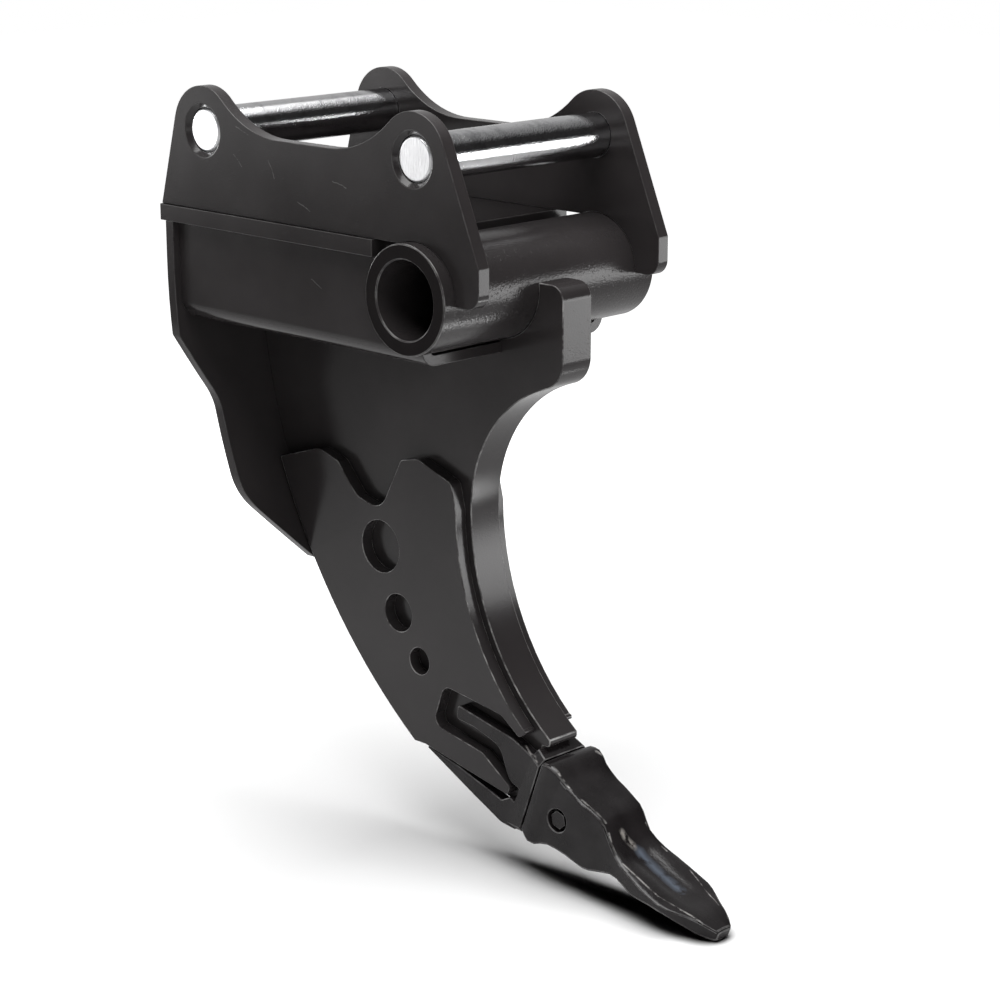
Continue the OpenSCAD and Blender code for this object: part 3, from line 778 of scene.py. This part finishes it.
# The painted shadow darkens the floor's colour along that strip.
floor_painted_shadow = add(
    floor_tree, "ShaderNodeMix",
    {"Factor": contact_pale.outputs["Result"]},
    data_type="RGBA",
)
floor_painted_shadow.inputs["A"].default_value = CONTACT_SHADOW_BLACK
floor_tree.links.new(floor_tone.outputs["Result"], floor_painted_shadow.inputs["B"])
floor_tree.links.new(floor_painted_shadow.outputs["Result"], floor_shader.inputs["Base Color"])
floor_reach = add(floor_tree, "ShaderNodeVectorMath", {0: floor_place}, operation="LENGTH")
floor_far = add(
    floor_tree, "ShaderNodeMapRange",
    {"Value": floor_reach.outputs["Value"], "From Min": FLOOR_NEAR, "From Max": FLOOR_FAR},
    interpolation_type="SMOOTHSTEP",
)
floor_rim = add(
    floor_tree, "ShaderNodeMapRange",
    {"Value": floor_reach.outputs["Value"], "From Min": HORIZON_NEAR,
     "From Max": HORIZON_FAR, "To Max": HORIZON_GLOW},
    interpolation_type="SMOOTHSTEP",
)
floor_eye = add(
    floor_tree, "ShaderNodeMath",
    {0: floor_far.outputs["Result"], 1: floor_path.outputs["Is Camera Ray"]},
    operation="MULTIPLY",
)
floor_gloss = add(
    floor_tree, "ShaderNodeMath",
    {0: floor_rim.outputs["Result"], 1: floor_path.outputs["Is Glossy Ray"],
     2: floor_eye.outputs[0]},
    operation="MULTIPLY_ADD",
)
floor_glow = add(
    floor_tree, "ShaderNodeEmission",
    {"Color": WHITE, "Strength": floor_gloss.outputs[0]},
)
floor_seen = add(
    floor_tree, "ShaderNodeAddShader",
    {0: floor_shader.outputs[0], 1: floor_glow.outputs[0]},
)
floor_tree.links.new(floor_seen.outputs[0], floor_tree.nodes["Material Output"].inputs["Surface"])
floor_mesh.materials.append(floor_paint)

world = bpy.data.worlds.new("studio")
scene.world = world
world.use_nodes = True
sky = world.node_tree
sky_path = add(sky, "ShaderNodeLightPath")
sky_seen = add(
    sky, "ShaderNodeMath",
    {0: sky_path.outputs["Is Camera Ray"], 1: sky_path.outputs["Is Transmission Ray"]},
    operation="MAXIMUM",
)
sky_way = add(sky, "ShaderNodeTexCoord").outputs["Generated"]
sky_split = add(sky, "ShaderNodeSeparateXYZ", {"Vector": sky_way})
sky_band = add(sky, "ShaderNodeValToRGB", {"Fac": sky_split.outputs["Z"]})
for place, level in SKY_BANDS:
    stop = sky_band.color_ramp.elements.new(place) if place else sky_band.color_ramp.elements[0]
    stop.color = (level, level, level, 1)
sky_band.color_ramp.elements[-1].color = SKY_TOP
sky_left = add(
    sky, "ShaderNodeMapRange",
    {"Value": sky_split.outputs["X"], "From Min": SKY_LEFT_FROM, "From Max": SKY_LEFT_TO},
)
sky_gloss = add(sky, "ShaderNodeMix", {"Factor": sky_left.outputs["Result"]}, data_type="RGBA")
sky.links.new(sky_band.outputs["Color"], sky_gloss.inputs["A"])
sky_gloss.inputs["B"].default_value = SKY_LEFT
sky_level = add(
    sky, "ShaderNodeMix",
    {"Factor": sky_path.outputs["Is Glossy Ray"]},
    data_type="RGBA",
)
sky_level.inputs["A"].default_value = SKY_AMBIENT
sky.links.new(sky_gloss.outputs["Result"], sky_level.inputs["B"])
sky_white = add(sky, "ShaderNodeMix", {"Factor": sky_seen.outputs[0]}, data_type="RGBA")
sky.links.new(sky_level.outputs["Result"], sky_white.inputs["A"])
sky_white.inputs["B"].default_value = WHITE
sky.links.new(sky_white.outputs["Result"], sky.nodes["Background"].inputs["Color"])
sky.nodes["Background"].inputs["Strength"].default_value = 1.0

lit_floor = bpy.data.collections.new("lit_floor")
lit_floor.objects.link(floor)
lit_pieces = bpy.data.collections.new("lit_pieces")
lit_plates = bpy.data.collections.new("lit_plates")
lit_rear_pin = bpy.data.collections.new("lit_rear_pin")
for piece in scene.collection.objects:
    if piece.type == "MESH" and piece != floor:
        lit_pieces.objects.link(piece)
        if piece.name != "tooth_skin":
            lit_plates.objects.link(piece)
        if piece.name == "rear_pin_skin":
            lit_rear_pin.objects.link(piece)


def soft_box(name, place, aim, width, height, watts, lit):
    """One rectangular light that faces a point and lights only the pieces of one collection."""
    lamp = bpy.data.lights.new(name, "AREA")
    lamp.shape = "RECTANGLE"
    lamp.size = width
    lamp.size_y = height
    lamp.energy = watts
    holder = bpy.data.objects.new(name, lamp)
    holder.location = place
    holder.rotation_euler = (Vector(aim) - Vector(place)).to_track_quat("-Z", "Y").to_euler()
    scene.collection.objects.link(holder)
    holder.light_linking.receiver_collection = lit
    holder.visible_camera = False


soft_box(
    "floor_soft_box", place=(-0.1, -0.2, 1.5), aim=(-0.1, -0.2, -0.8),
    width=2.45, height=2.45, watts=115, lit=lit_floor,
)
soft_box(
    "top_soft_box", place=(0.1, -0.15, 1.5), aim=(0.1, -0.15, -0.8),
    width=2.0, height=2.0, watts=92, lit=lit_pieces,
)
soft_box(
    "rear_left_light", place=(-3.3, -1.5, -0.1), aim=(0.0, 0.0, -0.3),
    width=0.4, height=0.4, watts=40, lit=lit_pieces,
)
soft_box(
    "right_soft_box", place=(1.7, 1.75, -0.38), aim=(0.0, 0.0, -0.38),
    width=1.5, height=0.88, watts=21, lit=lit_plates,
)
soft_box(
    "front_fill", place=(2.2, -1.2, 0.3), aim=(0.0, 0.0, -0.4),
    width=1.4, height=1.4, watts=14, lit=lit_pieces,
)
soft_box(
    "rear_pin_soft_box", place=(-0.1, 1.0, 1.5), aim=(-0.34, 0.0, 0.0),
    width=1.3, height=0.55, watts=3.2, lit=lit_rear_pin,
)
soft_box(
    "low_right_light", place=(0.47, 0.40, -0.72), aim=(0.08, 0.0, -0.66),
    width=0.26, height=0.14, watts=0.9, lit=lit_plates,
)


# Camera: to the front right of the ripper and a little above it, with a long lens.
# Its place and turn were solved from the pins, the ears and the tube in the photo.
SENSOR_MM = 36.0
LENS_MM = 94.98
CAMERA_PLACE = (1.9769, -2.0366, 0.3776)
CAMERA_RIGHT = (0.7146, 0.6995, 0.0)
CAMERA_UP = (-0.1836, 0.1876, 0.9649)
CAMERA_BACK = (0.67502, -0.68952, 0.26249)
lens = bpy.data.cameras.new("camera")
lens.sensor_width = SENSOR_MM
lens.lens = LENS_MM
camera = bpy.data.objects.new("camera", lens)
camera.matrix_world = Matrix.Translation(CAMERA_PLACE) @ Matrix(
    (CAMERA_RIGHT, CAMERA_UP, CAMERA_BACK)
).transposed().to_4x4()
scene.collection.objects.link(camera)
scene.camera = camera
